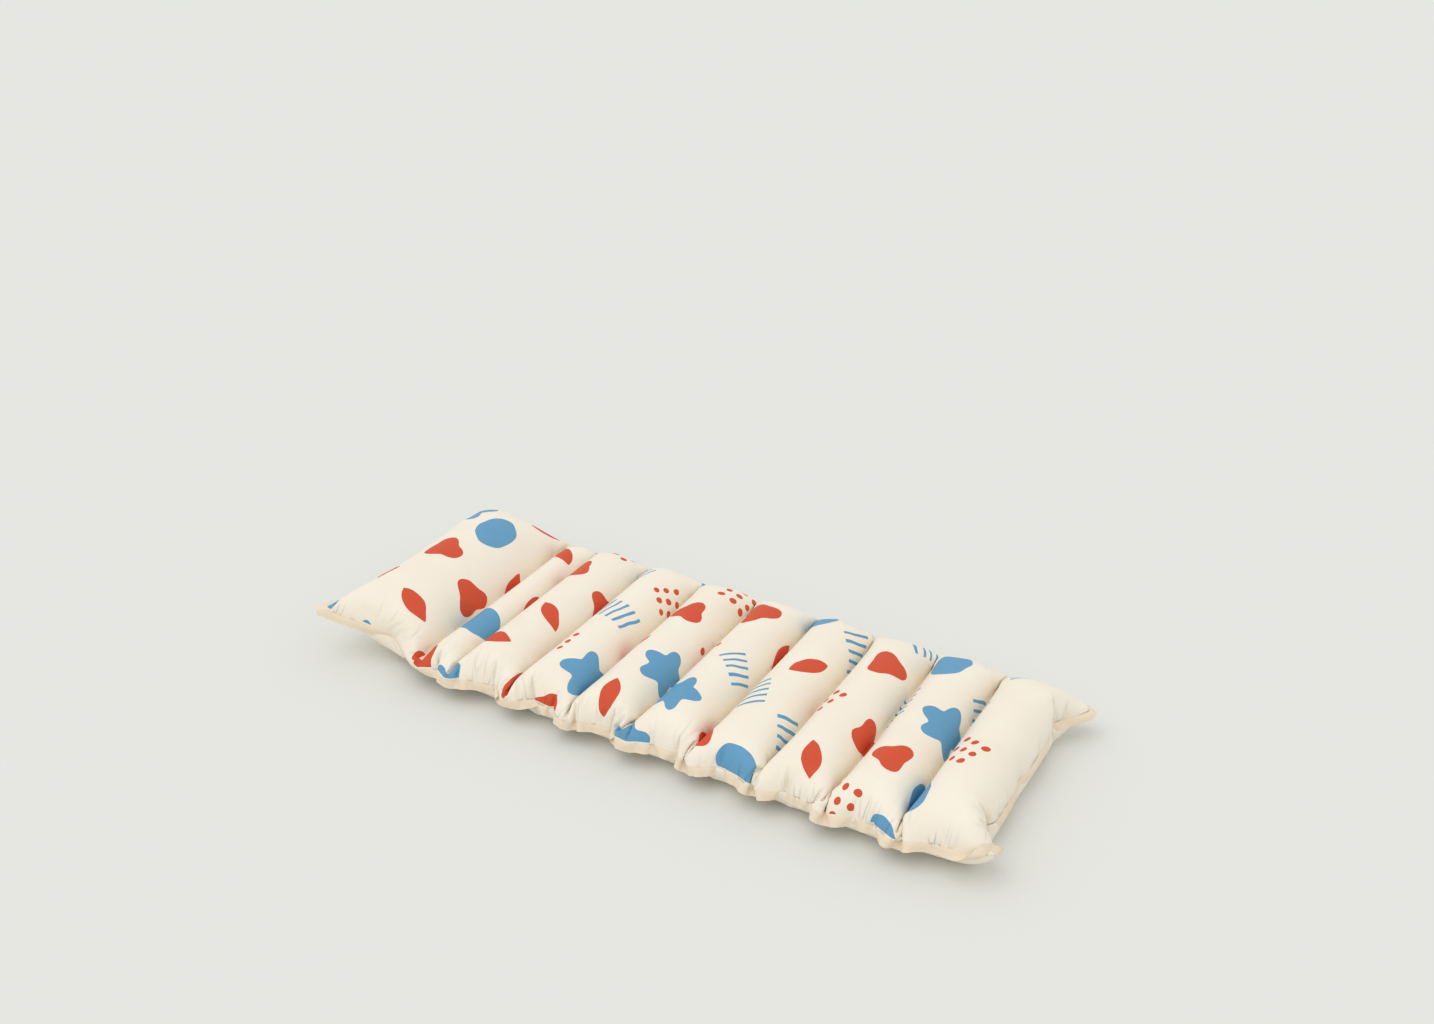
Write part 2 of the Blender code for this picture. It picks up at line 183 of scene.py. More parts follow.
# %% Sizes of the full mattress, in metres
TILT = math.radians(13.0)
WELD_HEIGHT = 0.0705
WELD_X = [-0.657, -0.560, -0.400, -0.240, -0.080, 0.080, 0.240, 0.400, 0.560]
# From the weld beside it
HEAD_HEM_X = -0.264
FOOT_HEM_X = 0.157
# Above and below the plane of the welds, for each chamber
RISES = [(0.071, 0.079), (0.045, 0.045)] + [(0.070, 0.070)] * 8
# From the middle of the bed: to where a chamber starts to close, and to the side hem
STRAIGHT = [0.175] + [0.211] * 9
FULL_HALF = 0.318
HEAD_EAR = 0.040
FOOT_EAR = 0.046
HEM_DIP = 0.008


def own_columns(chamber):
    """The numbers of a chamber's columns, without those of the hem."""
    return np.flatnonzero((chamber_of == chamber) & (kind_of != "hem"))


def chamber_ends(chamber):
    """Where a full chamber starts and ends along the bed. The pillow's are from its weld."""
    if chamber == PILLOW:
        return HEAD_HEM_X, -WELD_BANDS[PILLOW_WELD] / 2
    low = WELD_X[chamber - 1] + WELD_BANDS[chamber - 1] / 2
    if chamber == FOOT_TUBE:
        return low, WELD_X[-1] + FOOT_HEM_X
    return low, WELD_X[chamber] - WELD_BANDS[chamber] / 2


print("a full tube is", round(1000 * (WELD_X[2] - WELD_X[1])), "mm wide from weld to weld")

# %% [markdown]
# The flat film of a tube is a good deal wider than the tube is when it is full. Over the
# middle it goes into the roundness, but at the side hem nothing is round, so there the
# spare width is folded into one deep pleat per tube. The photograph shows on which side
# of each tube's middle the near pleat sits. The far ones are drawn at random. The foot
# hem is drawn in at three places in the same way.

# %% Where the hem folds
# The share of its length that the side hem loses in welding
HEM_EASE = 0.12
# How much of the spare width goes into the pleat, and the least depth of the pillow's
PLEAT_SHARE = 1.1
PILLOW_PLEAT = 0.012
# Where each chamber's pleat sits, as a share of the way over it
NEAR_CREASES = [0.72, 0.50, 0.70, 0.50, 0.72, 0.62, 0.47, 0.56, 0.42, 0.50]
FAR_CREASE_RANGE = (0.42, 0.58)
far_creases = rng.uniform(*FAR_CREASE_RANGE, len(NEAR_CREASES))

# Place across and depth of each fold in the foot hem
FOOT_FOLDS = [(-0.205, 0.018), (-0.02, 0.008), (0.20, 0.016)]
FOOT_FOLD_WIDTH = 0.022
foot_fold = sum(deep * np.exp(-((row_y - at) / FOOT_FOLD_WIDTH) ** 2) for at, deep in FOOT_FOLDS)


def pleated(over, left, right, pleat, crease):
    """Each point's way along a hem that is folded at the crease, and its depth in the fold."""
    hem_run = right - left + 2 * pleat
    run = np.where(over < crease, hem_run * over, right - left - hem_run * (1 - over))
    from_crease = hem_run * np.abs(over - crease)
    run = np.where(from_crease < pleat, hem_run * crease - pleat, run)
    return run, np.clip(pleat - from_crease, 0, None)


print("creases of the far hem:", [round(float(share), 2) for share in far_creases])

# %% The full mattress, column by column
SWELL = 0.6
SWELL_RUN = 0.03


def full_column(sheet, index):
    """Where one column's points start, on the full mattress."""
    chamber = chamber_of[index]
    first, last = place_of[own_columns(chamber)[[0, -1]], sheet]
    across, along = flat[0, sheet, index], np.abs(flat[1, sheet, index])
    way = (across - first) / (last - first)
    over = np.clip(way, 0, 1)
    y = np.where(along < FLAT_HALF, along * FULL_HALF / FLAT_HALF, FULL_HALF + along - FLAT_HALF)
    end = np.clip((y - STRAIGHT[chamber]) / (FULL_HALF - STRAIGHT[chamber]), 0, 1)
    low, high = chamber_ends(chamber)
    left = low - (HEAD_EAR * end ** 2 if chamber == PILLOW else 0)
    right = high + (FOOT_EAR * end ** 2 if chamber == FOOT_TUBE else 0)
    x = (left + right) / 2 - (right - left) / 2 * np.cos(pi * over)

    spare = (last - first) * (1 - HEM_EASE) - (right - left)
    pleat = np.maximum(spare / 2 * PLEAT_SHARE, PILLOW_PLEAT if chamber == PILLOW else 0.0)
    crease = np.where(row_y < 0, NEAR_CREASES[chamber], far_creases[chamber])
    run, inward = pleated(over, left, right, pleat, crease)
    x = x + (run + left - x) * end ** 3
    x = x + np.where(way < 0, across - first, 0) + np.where(way > 1, across - last, 0)

    # Air passes the ends of the body's welds, so the film swells there, but not at the hems
    past_weld = np.clip((y - WELD_STOP) / SWELL_RUN, 0, 1)
    if chamber in (PILLOW, 1):
        past_weld = past_weld * (over > 0.5) * chamber
    if chamber == FOOT_TUBE:
        past_weld = past_weld * (over < 0.5)
    swell = np.maximum(np.sin(pi * over), SWELL * past_weld)
    z = RISES[chamber][sheet] * (1, -1)[sheet] * swell * np.sqrt(1 - end ** 2)
    y = y - HEM_DIP * np.sin(pi * over) * end ** 2 - inward * end ** 3
    if chamber == FOOT_TUBE:
        x = x - foot_fold * np.clip(2 * over - 1, 0, 1) ** 2
    if chamber == PILLOW:
        x, z = (WELD_X[0] + x * cos(TILT) + z * sin(TILT), z * cos(TILT) - x * sin(TILT))
    return x, y * np.sign(row_y), WELD_HEIGHT + z


film = np.zeros((3, 2, *shape))
for sheet in (0, 1):
    for index in range(len(columns)):
        film[:, sheet, index] = full_column(sheet, index)
print("the start is", round(float(np.ptp(film[0])), 3), "m long and",
      round(float(film[2].max()), 3), "m high")

# %% [markdown]
# A little unevenness near the ends of the tubes starts the smaller creases. Without it both
# sides would buckle alike, which film never does.

# %% Unevenness
UNEVEN_WAVE = 0.03
UNEVEN_RISE = 0.0020
UNEVEN_SHIFT = 0.0012
UNEVEN_FROM = 0.20
UNEVEN_RUN = 0.12


def uneven(wave):
    """Smooth noise over the pattern, with waves of about this length in metres."""
    field = rng.normal(size=shape)
    for axis in (0, 1):
        spectrum = np.fft.rfft(field, axis=axis)
        fade = np.exp(-(np.fft.rfftfreq(shape[axis], CELL) * wave) ** 2)
        spectrum *= fade[:, None] if axis == 0 else fade[None, :]
        field = np.fft.irfft(spectrum, n=shape[axis], axis=axis)
    return field / field.std()


near_end = np.clip((np.abs(row_y) - UNEVEN_FROM) / UNEVEN_RUN, 0, 1)
for sheet in (0, 1):
    film[2, sheet] += UNEVEN_RISE * uneven(UNEVEN_WAVE) * near_end
    film[1, sheet] += UNEVEN_SHIFT * uneven(UNEVEN_WAVE) * near_end
print("uneven by about", UNEVEN_RISE * 1000, "mm at the ends of the tubes")

# %% [markdown]
# ## What holds the film
# The welds keep the frame's places, so every tube stays on its own body and the joints
# turn about real welds. They may slide along their own length, because a real weld
# gathers as the tubes fill, and close to the side hems they are free. The flange of each
# valve is a stiff disc, so the film on it stays flat, at the frame's own seat.

# %% Points held on the welds
# How far from the middle of the bed a line is held
LINE_REACH = {HEAD_HEM: 0.15, PILLOW_WELD: 0.30, FOOT_HEM: 0.24}
WELD_REACH = 0.230

held = np.zeros(shape, bool)
for index in np.flatnonzero(seam):
    held[index] = np.abs(row_y) <= LINE_REACH.get(int(line_of[index]), WELD_REACH)
held_place = film.copy()
print("held on welds:", int(held.sum()))

# %% Points held on the valves' seats
VALVE_Y = 0.130
SEAT_RADIUS = 0.023
# Chamber, the middle of the seat, and the seat's tilt
seats = {
    "body": (1, np.array([-0.60625, VALVE_Y, 0.025]), 0.0),
    "pillow": (PILLOW, np.array([-0.808494, VALVE_Y, 0.023884]), TILT),
}


def into_chamber(tilt):
    """The way into the chamber from a seat with this tilt, as a vector of length one."""
    return np.array([sin(tilt), 0.0, cos(tilt)])


def valve_middle(chamber):
    """A valve's place on the flat bottom sheet, from the head's edge and the middle line."""
    first, last = place_of[own_columns(chamber)[[0, -1]], 1]
    return (first + last) / 2, VALVE_Y * FLAT_HALF / FULL_HALF


on_seat = np.zeros(shape, bool)
for chamber, centre, tilt in seats.values():
    middle = valve_middle(chamber)
    across, along = flat[0, 1] - middle[0], flat[1, 1] - middle[1]
    disc = np.hypot(across, along) < SEAT_RADIUS
    spot = centre + into_chamber(tilt) * OUTER
    held_place[0, 1][disc] = (spot[0] + across * cos(tilt))[disc]
    held_place[1, 1][disc] = (spot[1] + along)[disc]
    held_place[2, 1][disc] = (spot[2] - across * sin(tilt))[disc]
    film[:, 1][:, disc] = held_place[:, 1][:, disc]
    on_seat |= disc
print("held on valve seats:", int(on_seat.sum()))

# %% [markdown]
# ## Blowing it up
# Blender's own cloth tool could do this, but with two sheets of a real size it is slow, and
# thousands of small steps are needed. So this is the method inside most cloth tools, in its
# plainest form. Each step moves the points on, pushes the film outward by its own area, and
# then puts right every length that has changed: along, across, and on both diagonals. Film
# resists stretching fully and pushing together only partly, which is what makes it crease.
# The welded hem is twice as thick, so it bends less.

# %% Lengths that the film keeps
EASE_FROM = 0.24
# How much of a wrong length each step puts right, when it is too long and when too short
PULL, PUSH = 1.0, 0.30
SLANT_PULL, SLANT_PUSH = 0.4, 0.12
everything = slice(None)


def rest_length(first, second):
    """Flat length of every strut, a little less near the hem, which shrinks in welding."""
    step = flat[(everything, *second)] - flat[(everything, *first)]
    along = np.abs(flat[(1, *second)] + flat[(1, *first)]) / 2
    ease = HEM_EASE * np.clip((along - EASE_FROM) / (FLAT_HALF - EASE_FROM), 0, 1)
    return np.hypot(step[0] * (1 - ease), step[1]).astype(np.float32)


def strut(first, second, pull, push):
    """A set of struts from the first points to the second, on both sheets."""
    first, second = (everything, *first), (everything, *second)
    return first, second, rest_length(first, second), pull, push


across_count, along_count = shape
struts = []
for start in (0, 1):
    a, b = slice(start, across_count - 1, 2), slice(start + 1, across_count, 2)
    struts.append(strut((a, everything), (b, everything), PULL, PUSH))
    struts.append(strut((a, slice(0, -1)), (b, slice(1, None)), SLANT_PULL, SLANT_PUSH))
    struts.append(strut((a, slice(1, None)), (b, slice(0, -1)), SLANT_PULL, SLANT_PUSH))
    a, b = slice(start, along_count - 1, 2), slice(start + 1, along_count, 2)
    struts.append(strut((everything, a), (everything, b), PULL, PUSH))
print("sets of struts that keep lengths:", len(struts))

# %% [markdown]
# Film bends freely, but not quite: a point resists coming nearer to the next but one. So
# struts that only push join every second point.

# %% Stiffness against bending
HEM_STIFFNESS = 0.3
FILM_STIFFNESS = 0.012
stiffness = np.where(hem, HEM_STIFFNESS, FILM_STIFFNESS).astype(np.float32)
for start in range(4):
    count = len(range(start, across_count - 2, 4))
    a, middle, b = (slice(start + k, start + k + 4 * count, 4) for k in (0, 1, 2))
    struts.append(strut((a, everything), (b, everything), 0.0, stiffness[middle]))
    count = len(range(start, along_count - 2, 4))
    a, middle, b = (slice(start + k, start + k + 4 * count, 4) for k in (0, 1, 2))
    struts.append(strut((everything, a), (everything, b), 0.0, stiffness[:, middle]))
print("sets of struts in all:", len(struts))

# %% [markdown]
# Film that has lain folded in its pack keeps some of those folds. In the photograph they
# lift the corners of the hem, and one tucks in the near side of the pillow. Each is a
# gentle pull at one place, given as a share of the air's own push. Last, the hem droops a
# little under its own weight.

# %% Folds left by the pack
PRESSURE = 0.080
CURL = 0.5
DROOP = 0.25

# Share of the length, side, pull in x, y and z, and radius in metres
PULLS = {"near head corner": (0.0, -1.0, (-1.6, -0.4, 1.3), 0.06),
         "far head corner": (0.0, 1.0, (0.0, 0.0, -1.0), 0.06),
         "near foot corner": (1.0, -1.0, (0.3, 0.8, 1.8), 0.06),
         "far foot corner": (1.0, 1.0, (1.6, 0.3, 0.9), 0.06),
         "pillow pucker": (0.090, -1.0, (0.0, 3.5, 0.0), 0.022)}


def pack_folds():
    """How far each step draws the film, which keeps the folds of its pack."""
    draw = np.zeros((3, 1, *shape), np.float32)
    for share, side, pull, radius in PULLS.values():
        gap = np.hypot(flat[0, 0] - share * flat[0, 0].max(),
                       flat[1, 0] - side * (FLAT_HALF + HEM))
        draw += CURL * np.multiply.outer(pull, np.exp(-(gap / radius) ** 2))[:, None]
    draw[2] -= DROOP * hem
    return draw * PRESSURE * (2 * CELL) ** 2


print("folds left by the pack:", ", ".join(PULLS))

# %% [markdown]
# Now the steps themselves. A little speed is taken away at each one, and more near the end,
# so that the film comes to rest. While other pieces are worked on, fewer steps will do.

# %% Settle the film
STEPS = 900
PILLOW_PRESSURE = 0.028
FLOOR_GAP = 0.0006
# Share of its speed that a point keeps, first and in the last part of the steps
SPEED_KEPT, LAST_SPEED_KEPT = 0.97, 0.90
LAST_FROM = 0.8


def blow_up(film, steps):
    """The film after so many steps of air, folds, struts, welds and floor."""
    film = film.astype(np.float32)
    places = held_place.astype(np.float32)
    air = np.where(chamber_of == PILLOW, PILLOW_PRESSURE, PRESSURE).astype(np.float32)
    outward = np.array([1, -1], np.float32)[:, None, None] * ~hem * air[:, None]
    draw = pack_folds()
    before = film.copy()
    for step in range(steps):
        kept = SPEED_KEPT if step < LAST_FROM * steps else LAST_SPEED_KEPT
        before, film = film, film + (film - before) * kept
        along = np.zeros_like(film)
        across = np.zeros_like(film)
        across[:, :, 1:-1] = film[:, :, 2:] - film[:, :, :-2]
        along[..., 1:-1] = film[..., 2:] - film[..., :-2]
        film += np.cross(across, along, axis=0) * outward
        film += draw
        for first, second, rest, pull, push in struts:
            a, b = film[(everything, *first)], film[(everything, *second)]
            step_between = b - a
            now = np.sqrt((step_between ** 2).sum(0)) + 1e-9
            share = (now - rest) / now
            step_between *= 0.5 * share * np.where(share > 0, pull, push)
            a += step_between
            b -= step_between
        middle = (film[:, 0] + film[:, 1]) / 2
        film[:, 0] = np.where(welded, middle, film[:, 0])
        film[:, 1] = np.where(welded, middle, film[:, 1])
        film[0] = np.where(held, places[0], film[0])
        film[2] = np.where(held, places[2], film[2])
        film[:, 1] = np.where(on_seat, places[:, 1], film[:, 1])
        np.maximum(film[2], FLOOR_GAP, out=film[2])
    last_move = float(np.abs(film - before).max())
    print("last step moved a point by", round(last_move * 1000, 3), "mm")
    return film


film = blow_up(film, STEPS)

# %% [markdown]
# ## From points to pieces
# One long sheet can't follow nine joints, so each sheet becomes nine pieces. A piece runs
# from the crown of one tube to the crown of the next, with one weld in its middle, and the
# cuts are on the crowns, where the film never bends. Shading would show the cuts, because
# a normal at an edge sees one side only. So the normals are worked out on the whole
# sheet first and handed to the pieces.
#
# A flat pattern is what a printer works on, so it is kept as the UV map, in metres. The
# print then swells and pulls in with the film, as the real one does.

# %% Normals of the whole sheet
def sheet_normals(sheet):
    """Outward normals at the grid's points."""
    across = np.gradient(film[:, sheet], axis=1)
    along = np.gradient(film[:, sheet], axis=2)
    normal = np.cross(across, along, axis=0) * (1, -1)[sheet]
    return normal / (np.linalg.norm(normal, axis=0) + 1e-12)


normals = np.stack([sheet_normals(0), sheet_normals(1)], axis=1)
print("normals for", normals[0].size, "points")

# %% How far each point is from a weld
FAR_AWAY = 1.0
gap_to_weld = np.full(shape, FAR_AWAY)
for index in np.flatnonzero(seam):
    on_line = welded[index] & ~hem[index]
    away = np.abs(flat[0, 0] - flat[0, 0, index][None, :])
    past_end = np.abs(row_y) - np.where(on_line, np.abs(row_y), 0.0).max()
    gap = np.hypot(away, np.maximum(past_end, 0)[None, :])
    gap_to_weld = np.minimum(gap_to_weld, gap)
print("furthest from a weld:", round(float(gap_to_weld.max()), 3), "m")

# %% Columns where the pieces are cut
bodies = ["pillow"] + [f"tube_{number}" for number in range(1, FOOT_TUBE + 1)]
CUT_SHARE = [0.5, 0.3] + [0.5] * 8


def cut_column(chamber):
    """The column nearest to where this chamber's film is cut."""
    own = own_columns(chamber)
    return own[np.argmin(np.abs(share_of[own] - CUT_SHARE[chamber]))]


cuts = [0] + [cut_column(chamber) for chamber in range(1, FOOT_TUBE)] + [len(columns) - 1]
print("cut at columns", [int(cut) for cut in cuts])

# %% [markdown]
# The film is cut round for each valve. The squares over the throat are left out, and the
# corners beside them slide onto a circle. The film is flat there, so they stay in it.

# %% Round holes for the valves
# Squares whose middle is nearer than this to the valve's are left out
HOLE_RADIUS = 0.0160
# The radius of the round edge that the corners beside them slide to
HOLE_EDGE = 0.0148
open_cells = np.zeros((shape[0] - 1, shape[1] - 1), bool)
for chamber, centre, tilt in seats.values():
    middle = np.array(valve_middle(chamber))[:, None]
    spread = flat[:, 1] - middle[..., None]
    hole = np.hypot(*(spread[:, 1:, 1:] + spread[:, :-1, :-1]) / 2) < HOLE_RADIUS
    open_cells |= hole
    touched = np.zeros(shape, int)
    for first, second in ((0, 0), (0, 1), (1, 0), (1, 1)):
        touched[first:shape[0] - 1 + first, second:shape[1] - 1 + second] += hole
    edge = (touched > 0) & (touched < 4)
    shrink = HOLE_EDGE / np.hypot(*spread[:, edge])
    spot = (centre + into_chamber(tilt) * OUTER)[:, None]
    flat[:, 1][:, edge] = middle + spread[:, edge] * shrink
    film[:, 1][:, edge] = spot + (film[:, 1][:, edge] - spot) * shrink
    print("hole of", int(edge.sum()), "corners in the film of", bodies[chamber])

# %% [markdown]
# A piece is a closed shell. Its outer face follows the grid, its inner face is the same one
# turned over, and along every open edge a side joins the two.

# %% Faces of a closed shell
def grid_faces(points, turned):
    """Quads of a grid of point numbers, turned to face up or down."""
    quads = np.stack([points[:-1, :-1], points[1:, :-1], points[1:, 1:], points[:-1, 1:]], -1)
    return (quads[..., ::-1] if turned else quads).reshape(-1, 4)


def shell_faces(outer, count):
    """Outer faces, the same ones on an inner set of points, and the sides at each rim."""
    edges = np.concatenate([outer[:, [k, (k + 1) % 4]] for k in range(4)])
    code = edges[:, 0].astype(np.int64) * count + edges[:, 1]
    back = edges[:, 1].astype(np.int64) * count + edges[:, 0]
    rim = edges[~np.isin(code, back)]
    sides = np.stack([rim[:, 1], rim[:, 0], rim[:, 0] + count, rim[:, 1] + count], -1)
    return np.concatenate([outer, outer[:, ::-1] + count, sides])


one_square = grid_faces(np.arange(4).reshape(2, 2), turned=False)
print("a shell over one square has", len(shell_faces(one_square, 4)), "faces")

# %% Pieces of film
def film_piece(name, sheet, first, last):
    """The film between two columns, as a closed shell with its flat pattern as UV map."""
    part = (everything, sheet, slice(first, last + 1))
    point, normal, pattern = film[part].astype(float), normals[part], flat[part]
    count = point[0].size
    outer = grid_faces(np.arange(count).reshape(point[0].shape), turned=sheet == 1)
    if sheet == 1:
        outer = outer[~open_cells[first:last].ravel()]
    used = np.tile(np.isin(np.arange(count), outer), 2)
    faces = (np.cumsum(used) - 1)[shell_faces(outer, count)]
    outside = (point + normal * OUTER).reshape(3, -1)
    inside = (point + normal * INNER).reshape(3, -1)
    corners = np.concatenate([outside, inside], axis=1).T[used]
    mesh = bpy.data.meshes.new(name)
    mesh.from_pydata(corners.tolist(), [], faces.tolist())
    mesh.polygons.foreach_set("use_smooth", np.ones(len(faces), bool))
    layer = mesh.uv_layers.new(name="pattern")
    uv = np.tile(pattern.reshape(2, -1), 2)[:, used].T[faces.ravel()]
    layer.data.foreach_set("uv", uv.astype(np.float32).ravel())
    for title, values in (("past_hem", from_inner_edge[sheet]), ("to_weld", gap_to_weld)):
        values = np.tile(values[first:last + 1].ravel(), 2)[used]
        attribute = mesh.attributes.new(title, "FLOAT", "POINT")
        attribute.data.foreach_set("value", values.astype(np.float32))
    shade = np.concatenate([normal.reshape(3, -1), -normal.reshape(3, -1)], axis=1).T[used]
    mesh.normals_split_custom_set_from_vertices(shade.tolist())
    piece = bpy.data.objects.new(name, mesh)
    bpy.context.scene.collection.objects.link(piece)
    return piece


skin = []
for sheet, side in enumerate(SHEETS):
    for weld in range(len(WELD_X)):
        piece = film_piece(f"skin_{side}_{weld}", sheet, cuts[weld], cuts[weld + 1])
        skin.append((piece, sheet, weld))
print(len(skin), "pieces,", sum(len(piece.data.polygons) for piece, *_ in skin), "faces")

# %% [markdown]
# Each piece keeps its place in the world, and the frame's films that it covers are hidden.
# The last piece covers the foot tube's film as well.

# %% Put the skin in place of the frame's films
BEND_HALF = 0.055
BEND = {0: (-0.700, -0.634), 1: (-0.585, -0.500)}
for piece, sheet, weld in skin:
    start, end = BEND.get(weld, (WELD_X[weld] - BEND_HALF, WELD_X[weld] + BEND_HALF))
    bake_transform(piece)
    covered = [weld, FOOT_TUBE] if weld == FOOT_TUBE - 1 else [weld]
    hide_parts(*(f"{bodies[chamber]}_{SHEETS[sheet]}_film" for chamber in covered))
print("the skin stands for the frame's films")

# %% [markdown]
# ## Colours and nodes
# Colours are written as the hex values that a screen shows and turned to linear light by
# one function. One more function adds a node, sets it, and links what feeds it.

# %% Helpers for materials
def linear(code):
    """Linear light, with alpha, of an sRGB hex colour."""
    parts = [int(code[k:k + 2], 16) / 255 for k in (1, 3, 5)]
    return [c / 12.92 if c <= 0.04045 else ((c + 0.055) / 1.055) ** 2.4 for c in parts] + [1.0]


def add(tree, kind, inputs=None, **settings):
    """A new node with these settings, whose inputs are values or other nodes."""
    node = tree.nodes.new("ShaderNode" + kind)
    for name, value in settings.items():
        setattr(node, name, value)
    for name, value in (inputs or {}).items():
        socket = node.inputs[name]
        if isinstance(value, bpy.types.Node):
            value = next(output for output in value.outputs if output.enabled)
        if isinstance(value, bpy.types.NodeSocket):
            tree.links.new(value, socket)
        else:
            socket.default_value = value
    return node


def new_material(name):
    """An empty material of nodes, and its tree."""
    material = bpy.data.materials.new(name)
    material.use_nodes = True
    material.node_tree.nodes.clear()
    return material, material.node_tree


CREAM = linear("#F7EFDF")
CREAM_DEEP = linear("#F8EFE4")
BLUE = linear("#649FC6")
RED = linear("#D65130")
print("cream in linear light:", [round(c, 3) for c in CREAM])

# %% [markdown]
# ## Vinyl film
# The skin is soft PVC film, about a third of a millimetre thick, calendered between
# rollers that leave a fine matt grain. The eye reads it by a wide soft sheen, a faint
# unevenness of tone, and the fine crinkles that run in from the hem and the welds. The big
# creases are in the mesh already, so only these small ones are bump.
#
# The real grain is about a third of a millimetre and too fine to show, so it is drawn
# coarser here. Crinkles come in patches, because the film is tight in some places and
# slack in others.

# %% Crinkles in the film
GRAIN = 0.0022
GRAIN_DEPTH = 0.00012
CRINKLE = 0.040
CRINKLE_DEPTH = 0.0050
# The length of a crinkle across the bed, as the tubes lie, and of one along the bed
LONG_ACROSS = 0.16
LONG_ALONG = 0.11
PATCHES_PER_METRE = 14.0
CLOUDS_PER_METRE = 9.0


def creases(tree, pattern, stretch, share):
    """Soft pads between sharp creases, as high as this share says, and here and there only."""
    stretched = add(tree, "Mapping", {"Vector": pattern, "Scale": stretch})
    lines = add(tree, "TexNoise", {"Vector": stretched, "Scale": 1.0, "Detail": 1.0,
                                   "Roughness": 0.4})
    lines = add(tree, "Math", {0: lines, 1: 0.5}, operation="SUBTRACT")
    lines = add(tree, "Math", {0: lines}, operation="ABSOLUTE")
    pads = add(tree, "MapRange", {"Value": lines, "From Max": 0.11},
               interpolation_type="SMOOTHERSTEP")
    here = add(tree, "TexNoise", {"Vector": pattern, "Scale": PATCHES_PER_METRE,
                                  "Detail": 0.0})
    here = add(tree, "MapRange", {"Value": here, "From Min": 0.42, "From Max": 0.60})
    share = add(tree, "Math", {0: share, 1: here}, operation="MULTIPLY")
    return add(tree, "Math", {0: pads, 1: share}, operation="MULTIPLY")


print("a crinkle every", CRINKLE * 1000, "mm or so, where the film is slack")

# %% Plain film
# How far the crinkles run in before they fade, and where they are full: from the side hem,
# past any hem's inner edge, and from a weld
SIDE_FADE = (0.100, 0.008)
HEM_FADE = (-0.055, -0.008)
WELD_FADE = (0.030, 0.004)
STRIP_EDGE = 0.002


def film_surface(tree, colour):
    """Principled film in this colour, with grain, crinkles and a pressed hem."""
    pattern = add(tree, "UVMap", uv_map="pattern")
    past = add(tree, "Attribute", attribute_name="past_hem").outputs["Fac"]
    weld = add(tree, "Attribute", attribute_name="to_weld").outputs["Fac"]
    grain = add(tree, "TexNoise", {"Vector": pattern, "Scale": 1 / GRAIN, "Detail": 2.0})
    spot = add(tree, "SeparateXYZ", {"Vector": pattern})
    off_middle = add(tree, "Math", {0: spot.outputs["Y"]}, operation="ABSOLUTE")
    near_side = add(tree, "MapRange", {"Value": off_middle,
                                       "From Min": FLAT_HALF - SIDE_FADE[0],
                                       "From Max": FLAT_HALF - SIDE_FADE[1]})
    near_hem = add(tree, "MapRange", {"Value": past, "From Min": HEM_FADE[0],
                                      "From Max": HEM_FADE[1]})
    near_end = add(tree, "Math", {0: near_hem, 1: near_side}, operation="SUBTRACT",
                   use_clamp=True)
    near_weld = add(tree, "MapRange", {"Value": weld, "From Min": WELD_FADE[0],
                                       "From Max": WELD_FADE[1], "To Max": 0.45})
    near_line = add(tree, "Math", {0: near_end, 1: near_weld}, operation="MAXIMUM")
    off_strip = add(tree, "MapRange", {"Value": past, "From Min": -STRIP_EDGE,
                                       "From Max": STRIP_EDGE, "To Min": 1.0, "To Max": 0.12})
    down = creases(tree, pattern, (1 / CRINKLE, 1 / LONG_ACROSS, 1), near_side)
    over = creases(tree, pattern, (1 / LONG_ALONG, 1 / CRINKLE, 1), near_line)
    crinkle = add(tree, "Math", {0: down, 1: over}, operation="ADD")
    crinkle = add(tree, "Math", {0: crinkle, 1: off_strip}, operation="MULTIPLY")
    rough_grain = add(tree, "Bump", {"Height": grain, "Distance": GRAIN_DEPTH,
                                     "Strength": 0.5})
    bump = add(tree, "Bump", {"Height": crinkle, "Distance": CRINKLE_DEPTH, "Strength": 0.8,
                              "Normal": rough_grain})
    blur = add(tree, "TexNoise", {"Vector": pattern, "Scale": CLOUDS_PER_METRE,
                                  "Detail": 4.0})
    tone = add(tree, "MapRange", {"Value": blur, "From Min": 0.3, "From Max": 0.7,
                                  "To Min": 0.0, "To Max": 0.35})
    deep = add(tree, "Mix", {"Factor": tone, "A": colour, "B": CREAM_DEEP},
               data_type="RGBA", blend_type="MULTIPLY")
    on_hem = add(tree, "MapRange", {"Value": past, "From Min": -STRIP_EDGE,
                                    "From Max": STRIP_EDGE})
    pressed = add(tree, "MapRange", {"Value": weld, "From Min": 0.0035, "From Max": 0.0015,
                                     "To Min": 0.0, "To Max": 0.5})
    joined = add(tree, "Math", {0: on_hem, 1: pressed}, operation="MAXIMUM")
    dark = add(tree, "Mix", {"Factor": joined, "A": deep.outputs["Result"], "B": CREAM_DEEP},
               data_type="RGBA", blend_type="MULTIPLY")
    gloss = add(tree, "MapRange", {"Value": blur, "To Min": 0.50, "To Max": 0.64})
    shader = add(tree, "BsdfPrincipled", {"Base Color": dark.outputs["Result"],
                                          "Roughness": gloss, "IOR": 1.45, "Normal": bump,
                                          "Specular IOR Level": 0.35})
    add(tree, "OutputMaterial", {"Surface": shader})


plain, tree = new_material("soft_pvc_film_plain")
film_surface(tree, CREAM)
print("made", plain.name)

